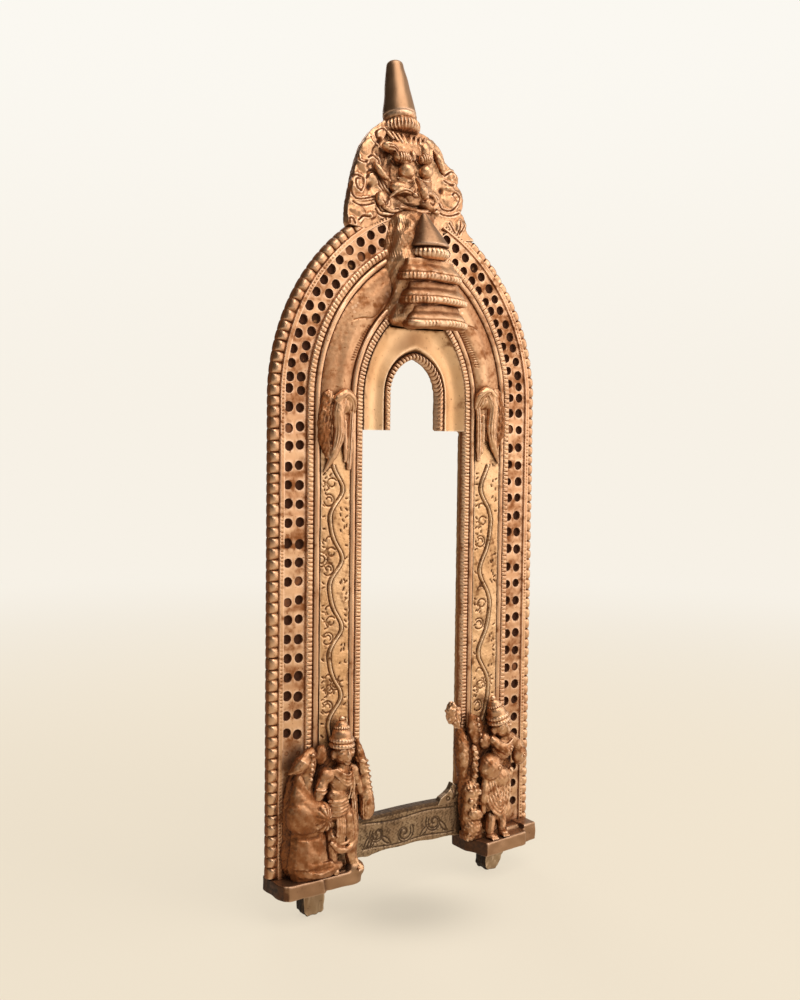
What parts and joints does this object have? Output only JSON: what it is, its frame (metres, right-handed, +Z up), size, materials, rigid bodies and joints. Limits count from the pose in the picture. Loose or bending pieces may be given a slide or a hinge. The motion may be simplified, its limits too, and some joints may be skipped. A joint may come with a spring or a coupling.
{
  "type": "brass prabhavali",
  "caption": "Pointed brass arch with pierced and beaded bands, mask crest, canopy and guardian figures, plugged into a plinth by tenons to stand behind a deity image.",
  "frame": {"origin": "midway between the tenons, in the plane of the pedestal undersides and of the plate face", "axes": "+Z up along the arch, +X to the viewer's right, the front faces -Y"},
  "size_m": [0.118, 0.0308, 0.3099],
  "materials": {
    "cast_brass": "cast, rubbed bright on the high places, brown in the hollows",
    "yellow_brass": "cast and chased, yellower and smoother",
    "polished_brass": "filed and polished",
    "aged_brass": "rough cast with dark patina",
    "filed_brass": "coarsely filed"
  },
  "bodies": {
    "root": {"back_plate": "aged_brass", "outer_bead_border": "cast_brass", "outer_rail": "cast_brass", "pierced_band": "cast_brass", "small_bead_wire": "cast_brass", "fillet_rail": "cast_brass", "left_panel": "yellow_brass", "right_panel": "yellow_brass", "arch_bolster": "yellow_brass", "inner_rail": "cast_brass", "jamb_bead_wire": "cast_brass", "niche_surround": "yellow_brass", "niche_rope_edge": "cast_brass", "crossbar": "yellow_brass", "crossbar_rivets": "aged_brass", "crest_plate": "cast_brass", "crest_rivets": "aged_brass", "kirtimukha_mask": "cast_brass", "finial_collar": "cast_brass", "finial": "polished_brass", "canopy_bracket": "aged_brass", "canopy_lower_tier": "cast_brass", "canopy_middle_tier": "cast_brass", "canopy_upper_tier": "cast_brass", "canopy_dowels": "aged_brass", "canopy_bead_ring": "cast_brass", "canopy_cone": "polished_brass", "left_tassel": "cast_brass", "right_tassel": "cast_brass", "left_pedestal": "polished_brass", "right_pedestal": "polished_brass", "left_tenon": "filed_brass", "right_tenon": "filed_brass", "left_guardian": "cast_brass", "right_guardian": "cast_brass", "left_crown": "cast_brass", "right_crown": "cast_brass", "left_mace": "cast_brass", "right_mace": "cast_brass", "left_club": "cast_brass", "right_club": "cast_brass"}
  },
  "joints": []
}
